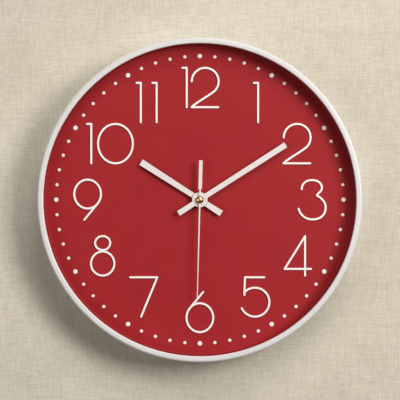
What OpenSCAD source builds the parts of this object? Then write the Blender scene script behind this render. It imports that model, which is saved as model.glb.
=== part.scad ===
// Round quartz wall clock: white rim and back case, clear flat lens, dished dial with
// raised numerals and dots, three hands and a battery movement clamped to the dial.
// Sizes are in millimetres. The clock faces -Y, twelve o'clock is +Z, the wall is y = 0
// and the hand shaft lies on the Y axis.

/* [Case] */
// Outside diameter of the clock
clock_diameter = 300; // [250:360]
// Room between the movement and the wall
back_room = 3; // [3:0.5:20]
// Width of the rim's front lip
lip_width = 5.6; // [4.7:0.1:9]
// Thickness of the rim's front lip
lip_thickness = 3.5; // [2.8:0.1:6]
// Thickness of the rim's skirt
skirt_thickness = 2; // [1.5:0.1:3]
// Roundness of the rim's outer front edge
rim_round = 2.2; // [0.5:0.1:2.6]
// Thickness of the back case's side wall
case_wall = 1.8; // [1.2:0.1:2.4]
// Thickness of the back panel
panel_thickness = 2; // [1.5:0.1:3]
// Thickness of the clear lens
lens_thickness = 2; // [1:0.1:3]
// Clear space between the lens and the top of the hands
lens_gap = 1.4; // [1:0.1:8]
// Diameter of the screws' shanks
screw_diameter = 3; // [2.4:0.1:3.6]
// Distance of the screws from the dial's edge
screw_inset = 20; // [12:0.5:30]
// Diameter of the keyhole's round part
keyhole_diameter = 9; // [7:0.1:11]
// Distance of the keyhole from the dial's edge
keyhole_inset = 39; // [30:0.5:50]

/* [Dial] */
// Thickness of the dial plate
dial_thickness = 2; // [1.6:0.1:3]
// Distance of the ring of dots from the dial's edge
dot_inset = 10.7; // [6:0.1:14]
// Diameter of the twelve large dots
hour_dot_diameter = 4.2; // [3:0.1:6]
// Diameter of the forty-eight small dots
minute_dot_diameter = 3; // [2:0.1:4.5]
// How far the dots stand above the dial
dot_rise = 0.6; // [0.4:0.1:2]

/* [Numerals] */
// Height of the numerals
numeral_height = 38.4; // [30:0.1:42]
// Distance of the numerals' centres from the dial's edge
numeral_inset = 40; // [34:0.5:48]
// Width of the numerals' strokes
stroke_width = 1.8; // [1.5:0.1:4]
// How far the numerals stand above the dial
numeral_rise = 1.2; // [0.5:0.1:2.4]

/* [Hands] */
// Length of the hour hand from the shaft
hour_hand_length = 64.8; // [50:0.1:80]
// Width of the hour hand at its tip
hour_hand_width = 6; // [3:0.1:9]
// Length of the minute hand from the shaft
minute_hand_length = 94.5; // [80:0.1:112]
// Width of the minute hand at its tip
minute_hand_width = 5.3; // [3:0.1:8]
// Length of the second hand from the shaft
second_hand_length = 91.7; // [80:0.1:112]
// Length of the second hand's counterweight end
second_tail_length = 36.6; // [20:0.1:45]
// Width of the second hand at the shaft
second_hand_width = 1.5; // [1:0.1:2.4]
// Width of the second hand at its tip
second_tip_width = 0.8; // [0.5:0.1:2]
// Length of the second hand's narrow neck behind the shaft
second_neck_length = 10; // [6:0.5:16]
// Width of the second hand's counterweight
counterweight_width = 3.3; // [2.4:0.1:6]
// Length of the hour and minute hands behind the shaft
tail_length = 23.6; // [12:0.1:32]
// Diameter of the round middle of the hour and minute hands
hub_diameter = 14.2; // [12:0.1:18]
// Thickness of the hour and minute hands
hand_thickness = 0.6; // [0.4:0.05:1.2]
// Clear height between one hand and the next
hand_gap = 1.9; // [1.6:0.1:3]
// Direction of the hour hand, clockwise from twelve
hour_angle = 302.6; // [0:0.1:360]
// Direction of the minute hand, clockwise from twelve
minute_angle = 57.4; // [0:0.1:360]
// Direction of the second hand, clockwise from twelve
second_angle = 181.5; // [0:0.1:360]

/* [Movement] */
// Length of the battery cell
cell_length = 50.5; // [44:0.1:62]
// Diameter of the battery cell
cell_diameter = 14.5; // [12:0.1:18]
// Diameter of the bushing that carries the hands
bushing_diameter = 8; // [8:0.1:10]
// Diameter of the second hand's shaft and of the wheels' arbors
shaft_diameter = 1; // [0.8:0.05:1.2]
// Diameter of the time-setting knob
knob_diameter = 13; // [9:0.1:16]
// Thickness of the rubber washer behind the dial
rubber_thickness = 1; // [0.5:0.1:2]
// Thickness of the nut
nut_thickness = 2; // [1.5:0.1:3]

/* [Hidden] */
$fn = 96;
eps = 0.02;
running = 0.03;
sliding = 0.1;

// Movement, measured from the shaft and from the dial's face; it lies behind the dial
shell = 1.4;
front_plate = 1.2;
cover_plate = 1.2;
train_room = 13.6;
positive_room = 0.8;
negative_room = 1.9;
bay_top = -11.6;
movement_top = 28;
room_half = (cell_length + positive_room + negative_room) / 2;
half = room_half + shell;
room_low = bay_top - cell_diameter - 0.5;
movement_low = room_low - shell;
plate_back = -dial_thickness;
housing_front = plate_back - rubber_thickness;
room_front = housing_front - front_plate;
movement_back = room_front - max(train_room + cover_plate, cell_diameter + 0.3);
cover_front = movement_back + cover_plate;
cell_at = [room_low + 0.25 + cell_diameter / 2, room_front - sliding - cell_diameter / 2];
contact_low = room_front - 10.8;
contact_high = room_front - 4.8;

// Shaft, pipes and hands, as radii and as heights above the dial's face
shaft_radius = shaft_diameter / 2;
minute_pipe_bore = shaft_radius + sliding;
minute_pipe_radius = minute_pipe_bore + 1;
hour_pipe_bore = minute_pipe_radius + sliding;
hour_pipe_radius = hour_pipe_bore + 0.8;
bushing_bore = hour_pipe_radius + sliding;
bushing_radius = bushing_diameter / 2;
cap_radius = 3.4;
cap_dome = cap_radius / cos(41);
steel_washer = 0.6;
bushing_top = steel_washer + nut_thickness + 0.4;
hour_level = bushing_top + 0.8;
hour_pipe_top = hour_level + hand_thickness + 0.4;
minute_level = hour_level + hand_thickness + hand_gap;
minute_pipe_top = minute_level + hand_thickness + 0.4;
second_level = minute_level + hand_thickness + hand_gap;
second_thickness = 0.5;
cap_level = second_level + second_thickness;
cap_top = cap_level + 1.8;

// Case, as radii from the shaft and heights from the wall or from the dial's face
case_radius = clock_diameter / 2;
skirt_inner = case_radius - skirt_thickness;
wall_outer = skirt_inner - 0.2;
wall_inner = wall_outer - case_wall;
dial_radius = case_radius - lip_width;
lens_back = cap_top + lens_gap;
lip_back = lens_back + lens_thickness;
lip_front = lip_back + lip_thickness;
dial_level = back_room - movement_back;
panel_back = 2;
panel_front = panel_back + panel_thickness;
flange_height = 8;
groove_low = 12;
window_gap = 1;
fence = 2.5;

// Screws that join the back case and the dial, and the keyhole
screw_count = 6;
screw_ring = dial_radius - screw_inset;
screw_radius = screw_diameter / 2;
boss_radius = screw_radius + 2;
boss_back = plate_back - 8;
keyhole_radius = keyhole_diameter / 2;
keyhole_slot = 4.6;
keyhole_rise = 8;
keyhole_y = dial_radius - keyhole_inset;

// Numerals and dots
numeral_ring = dial_radius - numeral_inset;
glyph = (numeral_height - stroke_width) / 36;
peg_radius = 0.7;
peg_depth = 1.2;
dot_ring = dial_radius - dot_inset;

// Gear train: where the arbors stand, and the backs of the wheels
intermediate_at = 10 * [cos(160), sin(160)];
third_at = 10 * [cos(20), sin(20)];
minute_at = [0, 10.5];
rotor_at = intermediate_at + 8.6 * [cos(150), sin(150)];
stator_level = room_front - 10.6;
intermediate_level = room_front - 12.8;
second_wheel_level = room_front - 10.9;
third_level = room_front - 9.4;
centre_level = room_front - 6.8;
cannon_level = room_front - 4.8;
hour_wheel_level = room_front - 3.2;

// ---------------------------------------------------------------- placing

// Drawn flat on the wall, then stood up so that the clock faces -Y
module on_wall() rotate([90, 0, 0]) children();

// The same, with height zero at the dial's face
module on_dial() on_wall() translate([0, 0, dial_level]) children();

module at(place, height) translate([place[0], place[1], height]) children();

module clock_angle(angle) rotate([0, 0, -angle]) children();

module slab(low, high) translate([0, 0, low]) linear_extrude(high - low) children();

module tube(low, high, outer, inner) slab(low, high) difference() {
    circle(outer);
    circle(inner);
}

// ---------------------------------------------------------------- outlines

function arc_points(centre, radius, from, to, steps) =
    [for (i = [0:steps]) let (a = from + (to - from) * i / steps)
        centre + radius * [cos(a), sin(a)]];

function bezier(a, b, c, d, steps = 10) =
    [for (i = [0:steps]) let (t = i / steps, s = 1 - t)
        s * s * s * a + 3 * s * s * t * b + 3 * s * t * t * c + t * t * t * d];

function heading(path, i) =
    let (step = path[min(i + 1, len(path) - 1)] - path[max(i - 1, 0)])
        atan2(step[1], step[0]);

function beside(path, i, side) =
    let (a = heading(path, i) + side * 90) path[i] + stroke_width / 2 * [cos(a), sin(a)];

function round_end(path, i, turn) =
    [for (k = [1:7]) let (a = heading(path, i) + turn + k * 22.5)
        path[i] + stroke_width / 2 * [cos(a), sin(a)]];

// A line of the numerals' width along a path, with round ends
module stroke(points) {
    path = glyph * points;
    last = len(path) - 1;
    polygon(concat(
        [for (i = [0:last]) beside(path, i, -1)], round_end(path, last, -90),
        [for (i = [0:last]) beside(path, last - i, 1)], round_end(path, 0, 90)));
}

function oval(centre, size, grow) =
    [for (a = [0:5:355]) let (n = [cos(a) / size[0], sin(a) / size[1]])
        centre + [size[0] * cos(a), size[1] * sin(a)] + grow * n / norm(n)];

// A closed oval line of the numerals' width
module loop(centre, size) difference() {
    polygon(oval(glyph * centre, glyph * size, stroke_width / 2));
    polygon(oval(glyph * centre, glyph * size, -stroke_width / 2));
}

// A rectangle from one corner to the opposite one
module box(low, high) translate(low) square(high - low);

// The movement's outline with rounded corners
module movement_outline(corner) {
    x = half - corner;
    low = movement_low + corner;
    high = movement_top - corner;
    polygon(concat(arc_points([x, high], corner, 0, 90, 6), arc_points([-x, high], corner, 90, 180, 6),
        arc_points([-x, low], corner, 180, 270, 6), arc_points([x, low], corner, 270, 360, 6)));
}

// ---------------------------------------------------------------- digits

// Each digit is 36 high along its centre line, about its own middle
module digit_0() loop([0, 0], [15.9, 18]);

module digit_1() {
    stroke([[1.95, -18], [1.95, 18]]);
    stroke([[-1.95, 18], [1.95, 18]]);
}

module digit_2() {
    stroke(concat(
        arc_points([0.1, 5.7], 12.3, 180, -50, 30),
        [for (i = [1:10]) bezier([8, -3.7], [3.8, -7.2], [-9.2, -14.5], [-12.4, -18])[i]]));
    stroke([[-12.4, -18], [12, -18]]);
}

module digit_3() {
    stroke(concat(
        bezier([-9.5, 9.6], [-9.5, 14.7], [-5.6, 18], [-0.2, 18]),
        [for (i = [1:10]) bezier([-0.2, 18], [5.1, 18], [9, 15.3], [9, 11])[i]],
        [for (i = [1:10]) bezier([9, 11], [9, 7.6], [5.2, 6.2], [4.3, 3.9])[i]]));
    stroke(concat(
        bezier([4.3, 3.9], [7.4, 2.5], [12.4, -1.4], [12.4, -6.8]),
        [for (i = [1:10]) bezier([12.4, -6.8], [12.4, -14.1], [7.4, -18], [0.6, -18])[i]],
        [for (i = [1:10]) bezier([0.6, -18], [-6, -18], [-10.5, -14.4], [-12.4, -8.3])[i]]));
}

module digit_4() {
    stroke([[7.3, -18], [7.3, 18]]);
    stroke([[7.3, 18], [-11.4, -11.9]]);
    stroke([[-11.4, -11.9], [12.8, -11.9]]);
}

module digit_5() {
    stroke([[7.6, 18], [-10.1, 18]]);
    stroke([[-10.1, 18], [-10.6, 1.9]]);
    stroke(arc_points([-0.95, -4.75], 13.25, 138, -155, 40));
}

module digit_6() {
    loop([0, -5.2], [12.2, 13.2]);
    stroke([[3, 18.3], [-9.35, 3.25]]);
}

module digit_7() {
    stroke([[-12.4, 18], [12.4, 18]]);
    stroke([[12.4, 18], [-2.4, -18]]);
}

module digit_8() {
    loop([0, 11.7], [6.9, 6.4]);
    loop([0, -7], [10.7, 11]);
}

// ---------------------------------------------------------------- numerals

// Where each numeral stands and where its two pegs go, measured from its own middle
function numeral_shift(hour) = hour == 10 ? 6.6 : hour == 11 ? 2.6 : 0;

function numeral_at(hour) =
    numeral_ring * [sin(30 * hour), cos(30 * hour)] + glyph * [numeral_shift(hour), 0];

pegs = [
    [], [[1.95, 12], [1.95, -12]], [[0.1, 18], [0, -18]], [[-0.2, 18], [0.6, -18]],
    [[7.3, 8], [-4, -11.9]], [[0, 18], [-0.95, -18]], [[0, -18.4], [0, 14.65]],
    [[0, 18], [0.9, -10]], [[0, 18.1], [0, -18]], [[0, 18.4], [0, -14.65]],
    [[-17, 0], [21, 0]], [[-5.3, 0], [9.2, 0]], [[-12, 0], [4.8, -18]]
];

module peg(hour) for (spot = pegs[hour])
    at(numeral_at(hour) + glyph * spot, -peg_depth) cylinder(h = peg_depth + eps, r = peg_radius);

module numeral(hour) color([0.95, 0.93, 0.91]) on_dial() {
    slab(0, numeral_rise) translate(numeral_at(hour)) children();
    peg(hour);
}

module numeral_1() numeral(1) digit_1();
module numeral_2() numeral(2) digit_2();
module numeral_3() numeral(3) digit_3();
module numeral_4() numeral(4) digit_4();
module numeral_5() numeral(5) digit_5();
module numeral_6() numeral(6) digit_6();
module numeral_7() numeral(7) digit_7();
module numeral_8() numeral(8) digit_8();
module numeral_9() numeral(9) rotate(180) digit_6();

module numeral_10() numeral(10) {
    translate([-18.95 * glyph, 0]) digit_1();
    translate([5.1 * glyph, 0]) digit_0();
}

module numeral_11() numeral(11) {
    translate([-7.25 * glyph, 0]) digit_1();
    translate([7.25 * glyph, 0]) digit_1();
}

module numeral_12() numeral(12) {
    translate([-13.95 * glyph, 0]) digit_1();
    translate([4.8 * glyph, 0]) digit_2();
}

module dot(minute, diameter) clock_angle(6 * minute) translate([0, dot_ring, 0]) rotate_extrude()
    polygon([[0, 0], [0.5, 0], [0.5, 0.65 * dot_rise / diameter], [0.46, 0.82 * dot_rise / diameter],
        [0.36, 0.95 * dot_rise / diameter], [0, dot_rise / diameter]] * diameter);

module hour_dots() color([0.95, 0.93, 0.91]) on_dial()
    for (hour = [0:11]) dot(5 * hour, hour_dot_diameter);

module minute_dots() color([0.95, 0.93, 0.91]) on_dial()
    for (minute = [0:59]) if (minute % 5 != 0) dot(minute, minute_dot_diameter);

// ---------------------------------------------------------------- case

module screw_places() for (k = [0:screw_count - 1])
    clock_angle(30 + k * 360 / screw_count) translate([0, screw_ring, 0]) children();

module keyhole() translate([0, keyhole_y]) {
    circle(keyhole_radius);
    box([-keyhole_slot / 2, 0], [keyhole_slot / 2, keyhole_rise]);
    translate([0, keyhole_rise]) circle(keyhole_slot / 2);
}

module window(grow) box([-half - grow, movement_low - grow], [half + grow, movement_top + grow]);

module back_case() color([0.93, 0.93, 0.92]) on_wall() difference() {
    union() {
        rotate_extrude() polygon([[0, panel_back], [case_radius - 6, panel_back],
            [case_radius - 5, 0], [case_radius - 0.8, 0], [case_radius, 0.8],
            [case_radius, flange_height], [wall_outer, flange_height], [wall_outer, groove_low],
            [wall_outer - 0.7, groove_low + 0.4], [wall_outer - 0.7, groove_low + 1.8],
            [wall_outer, groove_low + 2.2], [wall_outer, dial_level + lens_back],
            [wall_inner, dial_level + lens_back], [wall_inner, panel_front], [0, panel_front]]);
        slab(panel_back, panel_front + 3) window(window_gap + fence);
        screw_places() cylinder(h = dial_level + boss_back, r = boss_radius);
        for (a = [15:30:345]) rotate(a) slab(panel_front - eps, panel_front + 4)
            box([half * 1.53, -0.8], [wall_inner - 6, 0.8]);
        tube(panel_front - eps, panel_front + 3, screw_ring - 34, screw_ring - 35.6);
        slab(panel_front - eps, panel_front + 2) translate([0, keyhole_y])
            box([-keyhole_radius - 8, -keyhole_radius - 6], [keyhole_radius + 8, keyhole_rise + 8]);
    }
    slab(-1, panel_front + 4) window(window_gap);
    slab(-1, panel_front + 4) keyhole();
    screw_places() {
        translate([0, 0, -1]) cylinder(h = dial_level, r = screw_radius + 0.2);
        translate([0, 0, -1]) cylinder(h = panel_back + 1, r = boss_radius + 1);
    }
}

module front_bezel() color([0.95, 0.95, 0.94]) on_wall() {
    top = dial_level + lip_front;
    rotate_extrude() polygon(concat(
        [[skirt_inner, flange_height], [case_radius, flange_height]],
        arc_points([case_radius - rim_round, top - rim_round], rim_round, 0, 90, 8),
        arc_points([dial_radius + 1.2, top - 1.2], 1.2, 90, 180, 6),
        [[dial_radius, dial_level + lip_back], [skirt_inner, dial_level + lip_back]]));
    for (a = [0:45:315]) rotate(a) rotate_extrude(angle = 10) polygon([
        [skirt_inner - 0.75, groove_low + 0.7], [skirt_inner + 0.5, groove_low + 0.4],
        [skirt_inner + 0.5, groove_low + 1.8], [skirt_inner - 0.75, groove_low + 1.5]]);
}

module lens() color([0.9, 0.95, 0.97, 0.25]) on_dial()
    translate([0, 0, lens_back]) cylinder(h = lens_thickness, r = skirt_inner - 0.5);

module dial_pan() color([0.62, 0.17, 0.18]) on_dial() difference() {
    union() {
        rotate_extrude() polygon(concat(
            [[bushing_radius + 0.05, plate_back], [wall_inner - 0.3, plate_back],
                [wall_inner - 0.3, lens_back], [dial_radius, lens_back]],
            arc_points([dial_radius - 1.2, 1.2], 1.2, 0, -90, 5),
            [[bushing_radius + 0.05, 0]]));
        screw_places() slab(boss_back, plate_back + eps) circle(boss_radius);
        for (r = [screw_ring - 50, screw_ring - 10]) tube(plate_back - 1.5, plate_back + eps, r, r - 1.6);
        slab(plate_back - 3, plate_back + eps) difference() {
            window(2.5);
            window(0.5);
        }
    }
    screw_places() slab(boss_back - 1, plate_back - 1.6) circle(screw_radius);
    for (hour = [1:12]) peg(hour);
}

module case_screws() color([0.75, 0.75, 0.77]) on_wall() screw_places() difference() {
    union() {
        slab(panel_back, dial_level + plate_back - 4) circle(screw_radius);
        rotate_extrude() polygon([[0, 0.2], [screw_diameter * 0.7, 0.2], [screw_diameter * 0.93, 0.8],
            [screw_diameter * 0.93, panel_back], [0, panel_back]]);
    }
    slab(0, 1.2) {
        square([screw_diameter, 0.8], center = true);
        square([0.8, screw_diameter], center = true);
    }
}

// ---------------------------------------------------------------- hands

module blade(near, far, length) polygon([[near / 2, 0], [far / 2, length],
    [-far / 2, length], [-near / 2, 0]]);

// A hand with a round middle and a tail, pressed on a pipe by a collar
module hand(level, width, length, bore, collar, collar_low) {
    slab(level, level + hand_thickness) difference() {
        union() {
            circle(d = hub_diameter);
            blade(4.6, width, length);
            rotate(180) blade(4.6, width - 0.2, tail_length);
        }
        circle(bore);
    }
    tube(collar_low, level + eps, collar, bore);
}

module hour_hand() color([0.9, 0.88, 0.85]) on_dial() clock_angle(hour_angle)
    hand(hour_level, hour_hand_width, hour_hand_length, hour_pipe_radius, hour_pipe_radius + 1.1,
        bushing_top + 0.2);

module minute_hand() color([0.9, 0.88, 0.85]) on_dial() clock_angle(minute_angle)
    hand(minute_level, minute_hand_width, minute_hand_length, minute_pipe_radius,
        minute_pipe_radius + 1.2, hour_pipe_top + 0.5);

module second_hand() color([0.88, 0.85, 0.82]) on_dial() clock_angle(second_angle)
    slab(second_level, cap_level) difference() {
        near = second_hand_width / 2;
        far = second_tip_width / 2;
        wide = counterweight_width / 2;
        union() {
            circle(cap_radius - 0.5);
            polygon([[near, 0], [far, second_hand_length], [-far, second_hand_length],
                [-near, 0], [-near, -second_neck_length], [-wide, -second_neck_length],
                [-wide, -second_tail_length], [wide, -second_tail_length],
                [wide, -second_neck_length], [near, -second_neck_length]]);
        }
        circle(shaft_radius + 0.8);
    }

module hand_cap() color([0.78, 0.6, 0.28]) on_dial() rotate_extrude() polygon(concat(
    [[shaft_radius, minute_pipe_top + 0.5], [shaft_radius + 0.8, minute_pipe_top + 0.5],
        [shaft_radius + 0.8, cap_level], [cap_radius, cap_level]],
    arc_points([0, cap_top - cap_dome], cap_dome, 41, 90, 8),
    [[0, second_level], [shaft_radius, second_level]]));

// ---------------------------------------------------------------- movement case

module movement_housing() color([0.13, 0.13, 0.14]) on_dial() difference() {
    union() {
        difference() {
            slab(cover_front, housing_front) movement_outline(2);
            slab(cover_front - 1, room_front)
                box([-room_half, bay_top + 1.2], [room_half, movement_top - shell]);
            slab(cover_front - 1, room_front) box([-room_half, room_low], [room_half, bay_top]);
        }
        for (x = [-15, 15]) difference() {
            slab(room_front - 5, room_front + eps) box([x - 0.6, room_low - eps], [x + 0.6, bay_top + eps]);
            translate([x - 2, cell_at[0], cell_at[1]]) rotate([0, 90, 0])
                cylinder(h = 4, r = cell_diameter / 2 + 0.05);
        }
        for (place = [[-24.3, 3.7], [-10.8, 17], [24.6, 24.6], [11, 24.6]])
            at(place, stator_level + 1) cylinder(h = room_front - stator_level - 1 + eps, r = 1.3);
    }
    slab(room_front - 1, housing_front + 1) circle(bushing_radius);
    for (place = [intermediate_at, third_at, rotor_at])
        at(place, room_front - 0.1) cylinder(h = 0.6, r = shaft_radius + running);
    at(minute_at, room_front - 0.1) cylinder(h = 0.6, r = shaft_radius + 0.3 + running);
    for (side = [-1, 1]) slab(contact_low, contact_high) translate([side * room_half, bay_top + 0.5])
        square([0.8, 4], center = true);
}

module movement_cover() color([0.16, 0.16, 0.17]) on_dial() difference() {
    union() {
        slab(movement_back, cover_front) intersection() {
            movement_outline(2);
            box([-half, bay_top], [half, movement_top]);
        }
        for (x = [-room_half, room_half - 1.2], y = [-6, 18])
            slab(cover_front - eps, cover_front + 2.4) box([x, y], [x + 1.2, y + 5]);
        at(minute_at, 0) tube(movement_back - 0.5, movement_back + eps, knob_diameter / 2 + 1.7,
            knob_diameter / 2 + 0.8);
    }
    for (place = [[0, 0], intermediate_at, third_at, rotor_at])
        at(place, cover_front - 0.5) cylinder(h = 1, r = shaft_radius + running);
    at(minute_at, movement_back - 1) cylinder(h = 4, r = shaft_radius + 0.3 + running);
}

module shaft_bushing() color([0.8, 0.63, 0.3]) on_dial() rotate_extrude()
    polygon([[bushing_bore, room_front - 0.8], [bushing_radius + 1, room_front - 0.8],
        [bushing_radius + 1, room_front], [bushing_radius, room_front],
        [bushing_radius, bushing_top - 0.3], [bushing_radius - 0.3, bushing_top],
        [bushing_bore, bushing_top]]);

module rubber_washer() color([0.1, 0.1, 0.1]) on_dial()
    tube(housing_front, plate_back, bushing_radius + 4, bushing_radius);

module flat_washer() color([0.8, 0.78, 0.7]) on_dial()
    tube(0, steel_washer, bushing_radius + 2.4, bushing_radius);

module hex_nut() color([0.8, 0.63, 0.3]) on_dial()
    slab(steel_washer, steel_washer + nut_thickness) difference() {
        circle(d = (bushing_diameter + 3) / cos(30), $fn = 6);
        circle(bushing_radius);
    }

// ---------------------------------------------------------------- electronics and motor

module circuit_board() color([0.1, 0.42, 0.24]) on_dial() slab(stator_level + 0.2, stator_level + 1)
    box([9.5, 13.5], [room_half - 0.4, movement_top - 2]);

module quartz_crystal() color([0.78, 0.78, 0.8]) on_dial()
    translate([12, 23, stator_level - 0.8]) rotate([0, 90, 0]) cylinder(h = 6.2, r = 1);

module control_chip() color([0.08, 0.08, 0.09]) on_dial()
    slab(stator_level - 1, stator_level + 0.2) box([18, 15.5], [23, 20.5]);

module stator() color([0.62, 0.63, 0.65]) on_dial() slab(stator_level, stator_level + 1) difference() {
    polygon([[-26, 2], [-11.8, 2], [-11.8, 12], [-9, 12], [-9, 23], [-26, 23]]);
    box([-22.5, 13.5], [-12.8, 19.5]);
    translate(rotor_at) circle(3.4);
}

module along_core(from, to) translate([from, 21.25, stator_level + 0.5]) rotate([0, 90, 0])
    linear_extrude(to - from) children();

module coil_bobbin() color([0.9, 0.9, 0.86]) on_dial() difference() {
    union() {
        along_core(-22.5, -12.8) circle(2.3);
        along_core(-22.5, -21.9) circle(3.4);
        along_core(-13.4, -12.8) circle(3.4);
    }
    along_core(-23, -12) square([1, 3.5], center = true);
}

module coil_winding() color([0.72, 0.36, 0.16]) on_dial() along_core(-21.9, -13.4) difference() {
    circle(3.2);
    circle(2.3);
}

module rotor_magnet() color([0.35, 0.35, 0.37]) on_dial() at(rotor_at, 0)
    tube(stator_level - 0.6, stator_level + 2, 2.9, shaft_radius);

module rotor_pinion() color([0.85, 0.85, 0.8]) on_dial() at(rotor_at, 0) {
    slab(stator_level - 2.4, stator_level - 1) gear(12, 17.2 / 72, 150 + 180 + 15);
    slab(stator_level - 1 - eps, stator_level - 0.6) circle(1.1);
    arbor();
}

// ---------------------------------------------------------------- gears

// An arbor that runs from a blind bearing in the cover to one in the front plate
module arbor() slab(cover_front - 0.4, room_front + 0.4) circle(shaft_radius);

// A wheel's outline with narrow straight-sided teeth, one of them pointing along `phase`
module gear(teeth, tooth_module, phase) {
    root = tooth_module * (teeth / 2 - 1);
    tip = tooth_module * (teeth / 2 + 0.75);
    step = 360 / teeth;
    rotate(phase) polygon([for (i = [0:teeth - 1], p = [[root, -0.3], [tip, -0.11],
        [tip, 0.11], [root, 0.3]]) let (a = (i + p[1]) * step) p[0] * [cos(a), sin(a)]]);
}

module intermediate_wheel() color([0.9, 0.88, 0.8]) on_dial() at(intermediate_at, 0) {
    slab(intermediate_level, intermediate_level + 1) gear(60, 17.2 / 72, 150);
    slab(intermediate_level + 1 - eps, intermediate_level + 3.2) gear(10, 20 / 70, 160 + 18);
    arbor();
}

module second_wheel() color([0.9, 0.88, 0.8]) on_dial() {
    slab(second_wheel_level, second_wheel_level + 0.8) gear(60, 20 / 70, 160);
    slab(second_wheel_level + 0.8 - eps, second_wheel_level + 2.7) gear(10, 20 / 85, 20);
    slab(cover_front - 0.4, second_level) circle(shaft_radius);
}

module third_wheel() color([0.9, 0.88, 0.8]) on_dial() at(third_at, 0) {
    slab(third_level, third_level + 0.8) gear(75, 20 / 85, 200 + 180 / 75);
    slab(third_level + 0.8 - eps, third_level + 3.8) gear(10, 20 / 90, 200);
    arbor();
}

module centre_wheel() color([0.9, 0.88, 0.8]) on_dial() slab(centre_level, centre_level + 1)
    difference() {
        gear(80, 20 / 90, 20 + 180 / 80);
        circle(minute_pipe_radius + running);
    }

module minute_pipe() color([0.8, 0.63, 0.3]) on_dial() {
    tube(centre_level - 0.6, minute_pipe_top, minute_pipe_radius, minute_pipe_bore);
    slab(cannon_level, cannon_level + 1.2) difference() {
        gear(12, 21 / 48, 90);
        circle(minute_pipe_bore + 0.4);
    }
}

module minute_wheel() color([0.9, 0.88, 0.8]) on_dial() at(minute_at, 0) {
    slab(cannon_level, cannon_level + 1.2) gear(36, 21 / 48, 270 + 5);
    slab(cannon_level + 1.2 - eps, cannon_level + 3) gear(10, 21 / 50, 270);
    slab(movement_back - 1.4, room_front + 0.4) circle(shaft_radius + 0.3);
}

module hour_wheel() color([0.9, 0.88, 0.8]) on_dial() {
    slab(hour_wheel_level, hour_wheel_level + 1.2) difference() {
        gear(40, 21 / 50, 90 + 4.5);
        circle(hour_pipe_bore + 0.3);
    }
    tube(hour_wheel_level, hour_pipe_top, hour_pipe_radius, hour_pipe_bore);
}

module time_set_knob() color([0.2, 0.2, 0.21]) on_dial() at(minute_at, 0) difference() {
    slab(movement_back - 2, movement_back - 0.3) polygon([for (i = [0:71])
        let (r = knob_diameter / 2 - (i % 3 == 0 ? 0.45 : 0)) r * [cos(5 * i), sin(5 * i)]]);
    slab(movement_back - 1.4, movement_back) circle(shaft_radius + 0.3);
    slab(movement_back - 2.5, movement_back - 1.6) square([knob_diameter * 0.7, 1.6], center = true);
}

// ---------------------------------------------------------------- supply

module contact_positive() color([0.78, 0.78, 0.76]) on_dial() {
    slab(contact_low, contact_high) box([room_half - 0.4, room_low + 0.6], [room_half, 16]);
    translate([room_half - positive_room, cell_at[0], cell_at[1]]) rotate([0, 90, 0])
        cylinder(h = positive_room - 0.3, r = 2);
}

module contact_negative() color([0.78, 0.78, 0.76]) on_dial() slab(contact_low, contact_high)
    translate([-room_half, cell_at[0]]) polygon([[0, -7.2], [0.4, -7.2], [0.4, -5],
        [negative_room, -0.8], [negative_room, 0.8], [0.4, 5], [0.4, 12], [0, 12], [0, 5.4],
        [negative_room - 0.4, 0.6], [negative_room - 0.4, -0.6], [0, -5.4]]);

module battery() color([0.2, 0.35, 0.55]) on_dial()
    translate([-room_half + negative_room, cell_at[0], cell_at[1]]) rotate([0, 90, 0])
        rotate_extrude() polygon([[0, 0], [cell_diameter / 2 - 0.4, 0], [cell_diameter / 2, 0.4],
            [cell_diameter / 2, cell_length - 1.4], [cell_diameter / 2 - 0.4, cell_length - 1],
            [2.75, cell_length - 1], [2.75, cell_length], [0, cell_length]]);

back_case();
front_bezel();
lens();
dial_pan();
numeral_1();
numeral_2();
numeral_3();
numeral_4();
numeral_5();
numeral_6();
numeral_7();
numeral_8();
numeral_9();
numeral_10();
numeral_11();
numeral_12();
hour_dots();
minute_dots();
case_screws();
hour_hand();
minute_hand();
second_hand();
hand_cap();
movement_housing();
movement_cover();
shaft_bushing();
rubber_washer();
flat_washer();
hex_nut();
circuit_board();
quartz_crystal();
control_chip();
coil_bobbin();
coil_winding();
stator();
rotor_magnet();
rotor_pinion();
intermediate_wheel();
second_wheel();
third_wheel();
centre_wheel();
minute_pipe();
minute_wheel();
time_set_knob();
hour_wheel();
contact_positive();
contact_negative();
battery();
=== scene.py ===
"""Looks, stage, lights and camera for the round wall clock."""
import math

import bpy
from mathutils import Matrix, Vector


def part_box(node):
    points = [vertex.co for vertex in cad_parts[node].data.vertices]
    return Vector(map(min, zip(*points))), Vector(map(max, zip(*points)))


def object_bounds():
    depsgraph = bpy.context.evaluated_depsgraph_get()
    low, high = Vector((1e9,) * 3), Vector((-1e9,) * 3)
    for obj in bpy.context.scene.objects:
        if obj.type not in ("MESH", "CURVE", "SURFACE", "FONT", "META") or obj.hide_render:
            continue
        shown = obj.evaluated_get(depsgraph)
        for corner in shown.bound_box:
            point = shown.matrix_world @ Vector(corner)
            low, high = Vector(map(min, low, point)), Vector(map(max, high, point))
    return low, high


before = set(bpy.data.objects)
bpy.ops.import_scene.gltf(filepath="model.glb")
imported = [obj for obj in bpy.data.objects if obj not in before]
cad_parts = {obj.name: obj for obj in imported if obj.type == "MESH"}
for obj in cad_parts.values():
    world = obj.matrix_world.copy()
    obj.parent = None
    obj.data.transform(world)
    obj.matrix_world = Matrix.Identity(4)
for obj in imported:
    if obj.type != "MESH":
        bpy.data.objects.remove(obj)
cad_low, cad_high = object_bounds()

MM = 0.001

# Camera: it stands level, this far in front of the rim, and a hair off the dial's middle
CAMERA_DISTANCE = 1.9
CAMERA_ASIDE = 0.14 * MM
CAMERA_ABOVE = -0.23 * MM
CAMERA_LENS = 185.5
CAMERA_SENSOR = 36

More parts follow.
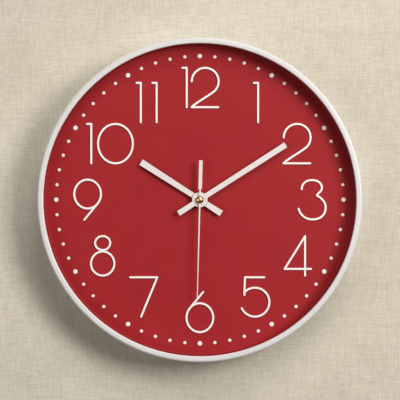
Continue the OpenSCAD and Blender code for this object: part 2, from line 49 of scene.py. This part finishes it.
# Stage: the wall lies just behind the case, and the floor well below it
WALL_GAP = 0.6 * MM
WALL_HALF_WIDTH = 2
WALL_TOP = 2
FLOOR_LEVEL = -1.4
FLOOR_HALF_WIDTH = 9
WORLD_STRENGTH = 0.06

# Softened edges: what counts as a doubled vertex, a flat face and a sharp edge
SAME_POINT = 0.002 * MM
FLAT_ANGLE = math.radians(0.5)
SHARP_ANGLE = math.radians(38)


# ---------------------------------------------------------------- node helpers

class Look:
    """One material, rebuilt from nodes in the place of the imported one."""

    def __init__(self, slot):
        self.material = bpy.data.materials.get(slot) or bpy.data.materials.new(slot)
        self.material.use_nodes = True
        self.tree = self.material.node_tree
        self.tree.nodes.clear()
        self.out = self.add("OutputMaterial")
        self.where = self.add("TexCoord").outputs["Object"]

    def add(self, kind, **values):
        node = self.tree.nodes.new("ShaderNode" + kind)
        for key, value in values.items():
            setattr(node, key, value)
        return node

    def link(self, source, target):
        self.tree.links.new(source, target)

    def shader(self, **sockets):
        """The Principled shader, with its steady values on its own sockets."""
        self.bsdf = self.add("BsdfPrincipled")
        for key, value in sockets.items():
            self.bsdf.inputs[key.replace("_", " ")].default_value = value
        self.link(self.bsdf.outputs[0], self.out.inputs["Surface"])
        return self.bsdf

    def stretch(self, scale):
        """The object's coordinates, stretched along its axes."""
        node = self.add("Mapping")
        node.inputs["Scale"].default_value = scale
        self.link(self.where, node.inputs["Vector"])
        return node.outputs["Vector"]

    def noise(self, size, detail=3.0, rough=0.55, stretch=None):
        """Noise whose blotches are about size metres across."""
        node = self.add("TexNoise")
        node.inputs["Scale"].default_value = 1 / size
        node.inputs["Detail"].default_value = detail
        node.inputs["Roughness"].default_value = rough
        self.link(self.stretch(stretch) if stretch else self.where, node.inputs["Vector"])
        return node.outputs["Fac"]

    def axis(self, name):
        """One of the object's coordinates, in metres."""
        node = self.add("SeparateXYZ")
        self.link(self.where, node.inputs[0])
        return node.outputs[name]

    def ramp(self, source, *stops):
        """Colours at places from 0 to 1 along the source."""
        node = self.add("ValToRGB")
        ramp = node.color_ramp
        while len(ramp.elements) < len(stops):
            ramp.elements.new(0.5)
        for element, (place, colour) in zip(ramp.elements, stops):
            element.position = place
            element.color = (*colour, 1)
        self.link(source, node.inputs["Fac"])
        return node.outputs["Color"]

    def span(self, source, low, high, to_low, to_high):
        """The source's range from low to high, stretched to the range from to_low to to_high."""
        node = self.add("MapRange")
        ends = {"From Min": low, "From Max": high, "To Min": to_low, "To Max": to_high}
        for key, value in ends.items():
            node.inputs[key].default_value = value
        self.link(source, node.inputs["Value"])
        return node.outputs["Result"]

    def sums(self, operation, a, b):
        """Arithmetic on two numbers or outputs."""
        node = self.add("Math", operation=operation)
        for socket, value in zip(node.inputs, (a, b)):
            if isinstance(value, (int, float)):
                socket.default_value = value
            else:
                self.link(value, socket)
        return node.outputs[0]

    def blend(self, fac, a, b):
        """Colour a with colour b laid over it by fac; a and b are colours or outputs."""
        node = self.add("Mix", data_type="RGBA")
        for socket, value in ((node.inputs[0], fac), (node.inputs[6], a), (node.inputs[7], b)):
            if isinstance(value, tuple):
                socket.default_value = (*value, 1)
            else:
                self.link(value, socket)
        return node.outputs[2]

    def colour(self, source):
        self.link(source, self.bsdf.inputs["Base Color"])

    def roughness(self, source, low, high):
        """Roughness from low to high over the middle of the source, where noise mostly lies."""
        self.link(self.span(source, 0.3, 0.7, low, high), self.bsdf.inputs["Roughness"])

    def bump(self, source, depth, strength):
        """Relief of about depth metres."""
        node = self.add("Bump")
        node.inputs["Distance"].default_value = depth
        node.inputs["Strength"].default_value = strength
        self.link(source, node.inputs["Height"])
        self.link(node.outputs[0], self.bsdf.inputs["Normal"])


def plastic(slot, light, dark, low, high, grain=0.4 * MM, depth=0.02 * MM, cloud=18 * MM,
            **sockets):
    """Moulded plastic: a faint cloudiness, fine grain, and gloss that varies a little."""
    look = Look(slot)
    look.shader(**sockets)
    soft = look.noise(cloud, 2)
    fine = look.noise(grain, 4, 0.6)
    tone = look.sums("ADD", look.sums("MULTIPLY", soft, 0.75), look.sums("MULTIPLY", fine, 0.25))
    look.colour(look.ramp(tone, (0.3, dark), (0.7, light)))
    look.roughness(look.noise(cloud / 3, 4), low, high)
    look.bump(fine, depth, 0.6)


def metal(slot, light, dark, low, high, stretch=(1, 1, 1)):
    """Bare or plated metal: fine scratches along one direction and slow tarnish."""
    look = Look(slot)
    look.shader(Metallic=1.0)
    tarnish = look.noise(4 * MM, 3)
    lines = look.noise(0.3 * MM, 3, 0.6, stretch)
    look.colour(look.ramp(tarnish, (0.3, dark), (0.7, light)))
    look.roughness(lines, low, high)
    look.bump(lines, 0.006 * MM, 0.5)


# ---------------------------------------------------------------- materials

# Rim: gloss white plastic with faint orange peel
plastic("white_rim", (0.62, 0.605, 0.60), (0.59, 0.575, 0.57), 0.26, 0.36,
        grain=0.9 * MM, depth=0.012 * MM, cloud=35 * MM)

# Back case: the same plastic with a spark-eroded, satin face
plastic("white_case", (0.71, 0.70, 0.68), (0.675, 0.665, 0.64), 0.42, 0.58, depth=0.05 * MM)

# Dial: satin red paint with a fine even grain
plastic("red_dial", (0.325, 0.0112, 0.0152), (0.298, 0.0088, 0.0125), 0.48, 0.56,
        grain=0.5 * MM, depth=0.02 * MM, cloud=40 * MM, Specular_IOR_Level=0.22)

# Numerals and dots: gloss white
plastic("white_numeral", (0.86, 0.84, 0.81), (0.83, 0.81, 0.78), 0.25, 0.35,
        grain=0.6 * MM, depth=0.01 * MM)

# Hands: white enamel on stamped sheet; the faint pink in its white is partly painted reflection of
# the red dial
plastic("white_hand", (0.735, 0.675, 0.655), (0.695, 0.64, 0.62), 0.3, 0.42,
        grain=0.5 * MM, depth=0.012 * MM, cloud=9 * MM)

metal("brass", (0.74, 0.53, 0.20), (0.62, 0.42, 0.145), 0.2, 0.32)
metal("screw_steel", (0.66, 0.66, 0.67), (0.52, 0.52, 0.54), 0.22, 0.42)
metal("bright_can", (0.72, 0.72, 0.74), (0.6, 0.6, 0.62), 0.2, 0.36, stretch=(0.15, 1, 1))
metal("stator_steel", (0.46, 0.47, 0.49), (0.34, 0.35, 0.37), 0.32, 0.5, stretch=(0.1, 6, 1))
metal("magnet", (0.16, 0.16, 0.17), (0.1, 0.1, 0.11), 0.35, 0.55)
metal("contact_metal", (0.7, 0.69, 0.67), (0.55, 0.54, 0.52), 0.16, 0.32, stretch=(1, 0.15, 1))

plastic("black_case", (0.02, 0.02, 0.021), (0.012, 0.012, 0.013), 0.42, 0.6,
        depth=0.05 * MM, cloud=8 * MM)
plastic("gear_nylon", (0.74, 0.71, 0.62), (0.66, 0.63, 0.53), 0.35, 0.5, depth=0.012 * MM,
        cloud=5 * MM)
plastic("soft_rubber", (0.02, 0.02, 0.02), (0.012, 0.012, 0.012), 0.7, 0.9, depth=0.04 * MM,
        cloud=4 * MM)
plastic("chip_black", (0.022, 0.022, 0.023), (0.012, 0.012, 0.013), 0.4, 0.6, depth=0.02 * MM,
        cloud=2 * MM)


def clear_lens():
    """Clear flat plastic with the faintest dust, which mirrors only on its outer side."""
    look = Look("clear_lens")
    gloss = look.add("BsdfAnisotropic")
    gloss.inputs["Color"].default_value = (0.9, 0.92, 0.93, 1)
    look.link(look.span(look.noise(3 * MM, 4), 0.3, 0.7, 0.02, 0.035), gloss.inputs["Roughness"])
    clear = look.add("BsdfTransparent")
    clear.inputs["Color"].default_value = (0.985, 0.985, 0.985, 1)
    edge = look.add("Fresnel")
    edge.inputs["IOR"].default_value = 1.3
    outside = look.sums("SUBTRACT", 1, look.add("NewGeometry").outputs["Backfacing"])
    over = look.add("MixShader")
    look.link(look.sums("MULTIPLY", edge.outputs[0], outside), over.inputs[0])
    look.link(clear.outputs[0], over.inputs[1])
    look.link(gloss.outputs[0], over.inputs[2])
    look.link(over.outputs[0], look.out.inputs["Surface"])


def green_board():
    """Circuit board: green solder mask over paler copper tracks."""
    look = Look("green_board")
    look.shader(Specular_IOR_Level=0.5)
    cells = look.add("TexVoronoi", feature="DISTANCE_TO_EDGE", distance="MANHATTAN")
    cells.inputs["Scale"].default_value = 1 / (2.2 * MM)
    look.link(look.where, cells.inputs["Vector"])
    track = look.span(cells.outputs["Distance"], 0.06, 0.1, 1, 0)
    mask = look.ramp(look.noise(3 * MM), (0.3, (0.01, 0.085, 0.035)), (0.7, (0.014, 0.11, 0.045)))
    look.colour(look.blend(track, mask, (0.04, 0.2, 0.07)))
    look.roughness(look.noise(1 * MM), 0.28, 0.4)
    look.bump(track, 0.03 * MM, 0.6)


def copper_wire():
    """Winding: fine enamelled wire laid round the bobbin."""
    look = Look("copper_wire")
    look.shader(Metallic=0.85, Coat_Weight=0.5, Coat_Roughness=0.15)
    turns = look.add("TexWave", wave_type="BANDS", bands_direction="X")
    turns.inputs["Scale"].default_value = 1 / (1.2 * MM)
    turns.inputs["Distortion"].default_value = 0.6
    look.link(look.where, turns.inputs["Vector"])
    # The wire is darker in the grooves between turns, which is painted shade; the crowns carry the
    # copper's own colour.
    painted_groove_shade, crown = (0.26, 0.075, 0.02), (0.68, 0.25, 0.09)
    look.colour(look.ramp(turns.outputs["Fac"], (0.15, painted_groove_shade), (0.8, crown)))
    look.roughness(look.noise(0.6 * MM), 0.25, 0.42)
    look.bump(turns.outputs["Fac"], 0.05 * MM, 0.8)


def cell_sleeve():
    """Cell: a green sleeve with a gold and a black band, and bare metal ends."""
    low_end, high_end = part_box("battery")
    steel, green, gold = (0.55, 0.55, 0.56), (0.012, 0.11, 0.075), (0.62, 0.42, 0.13)
    black, bare, printed = (0.02, 0.02, 0.022), (1, 1, 1), (0.35, 0.35, 0.35)
    sleeve_start, sleeve_end = (0.012, 0.014), (0.968, 0.97)
    look = Look("cell_sleeve")
    look.shader(Coat_Weight=0.3, Coat_Roughness=0.12)
    along = look.span(look.axis("X"), low_end.x, high_end.x, 0, 1)
    bands = look.ramp(along, (0.0, steel), (sleeve_start[0], steel), (sleeve_start[1], green),
                      (0.70, green), (0.702, gold), (0.93, gold), (0.932, black),
                      (sleeve_end[0], black), (sleeve_end[1], steel))
    wear = look.span(look.noise(6 * MM), 0.3, 0.7, 0.0, 0.12)
    look.colour(look.blend(wear, bands, (0.0, 0.02, 0.015)))
    ends = look.ramp(along, (0.0, bare), (sleeve_start[0], bare), (sleeve_start[1], printed),
                     (sleeve_end[0], printed), (sleeve_end[1], bare))
    look.link(ends, look.bsdf.inputs["Metallic"])
    look.roughness(look.noise(2 * MM), 0.22, 0.34)
    look.bump(look.noise(1.5 * MM), 0.01 * MM, 0.4)


clear_lens()
green_board()
copper_wire()
cell_sleeve()


# ---------------------------------------------------------------- edges

def soften(names, width, segments=2):
    """Rounds the sharp edges of the named pieces, as moulding and stamping leave them."""
    for name in names:
        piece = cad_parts[name]
        for attribute in ("custom_normal", "sharp_edge", "sharp_face"):
            if attribute in piece.data.attributes:
                piece.data.attributes.remove(piece.data.attributes[attribute])
        piece.data.shade_smooth()
        piece.modifiers.new("weld", "WELD").merge_threshold = SAME_POINT
        flat = piece.modifiers.new("flat", "DECIMATE")
        flat.decimate_type = "DISSOLVE"
        flat.angle_limit = FLAT_ANGLE
        edge = piece.modifiers.new("edge", "BEVEL")
        edge.width = width
        edge.segments = segments
        edge.limit_method = "ANGLE"
        edge.angle_limit = SHARP_ANGLE
        piece.modifiers.new("shade", "WEIGHTED_NORMAL")


soften([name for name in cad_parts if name.startswith("numeral_")], 0.32 * MM, 3)
soften(["hour_hand", "minute_hand"], 0.16 * MM)
soften(["second_hand", "flat_washer", "hex_nut"], 0.1 * MM)
soften(["movement_cover", "time_set_knob", "control_chip", "circuit_board", "stator"],
       0.12 * MM)


# ---------------------------------------------------------------- stage, lights and camera

def wall_cloth():
    """Pale woven wall covering, clear from behind, so that the clock's back can be seen."""
    look = Look("stage_wall")
    look.shader(Roughness=0.9, Specular_IOR_Level=0.2)
    threads = look.sums("ADD", look.noise(1.0 * MM, 3, 0.6, (0.09, 1, 1)),
                        look.noise(1.0 * MM, 3, 0.6, (1, 1, 0.09)))
    cloth = look.sums("ADD", look.sums("MULTIPLY", threads, 0.4),
                      look.sums("MULTIPLY", look.noise(70 * MM, 3), 0.2))
    look.colour(look.ramp(cloth, (0.37, (0.435, 0.395, 0.318)), (0.63, (0.585, 0.545, 0.457))))
    look.bump(threads, 0.05 * MM, 0.4)
    through = look.add("BsdfTransparent")
    pick = look.add("MixShader")
    look.link(look.add("NewGeometry").outputs["Backfacing"], pick.inputs[0])
    look.link(look.bsdf.outputs[0], pick.inputs[1])
    look.link(through.outputs[0], pick.inputs[2])
    look.link(pick.outputs[0], look.out.inputs["Surface"])
    return look.material


def floor_paint():
    """Pale matt floor with a little light of its own, so that it isn't dark behind the wall."""
    look = Look("stage_floor")
    look.shader(Roughness=0.85, Specular_IOR_Level=0.2, Emission_Strength=0.35)
    tint = look.ramp(look.noise(80 * MM, 3), (0.3, (0.42, 0.40, 0.37)), (0.7, (0.45, 0.43, 0.395)))
    look.colour(tint)
    look.link(tint, look.bsdf.inputs["Emission Color"])
    return look.material


def place(name, data):
    """A new object of the scene, which holds the data given."""
    thing = bpy.data.objects.new(name, data)
    bpy.context.scene.collection.objects.link(thing)
    return thing


def sheet(name, corners, material):
    """A flat sheet of the stage."""
    mesh = bpy.data.meshes.new(name)
    mesh.from_pydata(corners, [], [tuple(range(len(corners)))])
    mesh.materials.append(material)
    thing = place(name, mesh)
    return thing


def lamp(name, where, size, power, colour=(1, 1, 1)):
    """A square soft light, turned toward the middle of the clock's back."""
    data = bpy.data.lights.new(name, "AREA")
    data.size = size
    data.energy = power
    data.color = colour
    thing = place(name, data)
    thing.location = where
    thing.rotation_euler = (-Vector(where)).to_track_quat("-Z", "Y").to_euler()


def studio_world():
    """Faint even light; the camera sees a pale grey past the stage's edges."""
    world = bpy.data.worlds.new("studio")
    bpy.context.scene.world = world
    world.use_nodes = True
    nodes, links = world.node_tree.nodes, world.node_tree.links
    light = nodes["Background"]
    light.inputs["Color"].default_value = (1.0, 0.99, 0.97, 1)
    light.inputs["Strength"].default_value = WORLD_STRENGTH
    seen = nodes.new("ShaderNodeBackground")
    seen.inputs["Color"].default_value = (0.37, 0.355, 0.33, 1)
    choose = nodes.new("ShaderNodeMixShader")
    links.new(nodes.new("ShaderNodeLightPath").outputs["Is Camera Ray"], choose.inputs[0])
    links.new(light.outputs[0], choose.inputs[1])
    links.new(seen.outputs[0], choose.inputs[2])
    links.new(choose.outputs[0], nodes["World Output"].inputs["Surface"])


wall = sheet("stage_wall", [(x, WALL_GAP, z) for x, z in (
    (-WALL_HALF_WIDTH, FLOOR_LEVEL), (WALL_HALF_WIDTH, FLOOR_LEVEL),
    (WALL_HALF_WIDTH, WALL_TOP), (-WALL_HALF_WIDTH, WALL_TOP))], wall_cloth())
wall.visible_transmission = False
wall.visible_shadow = False

floor = sheet("stage_floor", [(x * FLOOR_HALF_WIDTH, y * FLOOR_HALF_WIDTH, FLOOR_LEVEL)
                              for x, y in ((-1, -1), (1, -1), (1, 1), (-1, 1))], floor_paint())
floor.visible_diffuse = False
floor.visible_glossy = False

studio_world()
lamp("right", (1.38, -1.75, 0.52), 0.85, 46, (1.0, 0.97, 0.94))
lamp("top", (0.62, -1.95, 1.79), 1.5, 39, (1.0, 0.98, 0.95))
lamp("left", (-1.15, -1.35, -0.15), 0.9, 9, (1.0, 0.96, 0.93))
lamp("back", (-0.7, 1.3, 0.9), 0.9, 26)

camera = place("camera", bpy.data.cameras.new("camera"))
camera.data.sensor_width = CAMERA_SENSOR
camera.data.lens = CAMERA_LENS
camera.location = (CAMERA_ASIDE, cad_low.y - CAMERA_DISTANCE, CAMERA_ABOVE)
camera.rotation_euler = (math.radians(90), 0, 0)
bpy.context.scene.camera = camera
bpy.context.scene.view_settings.view_transform = "Standard"
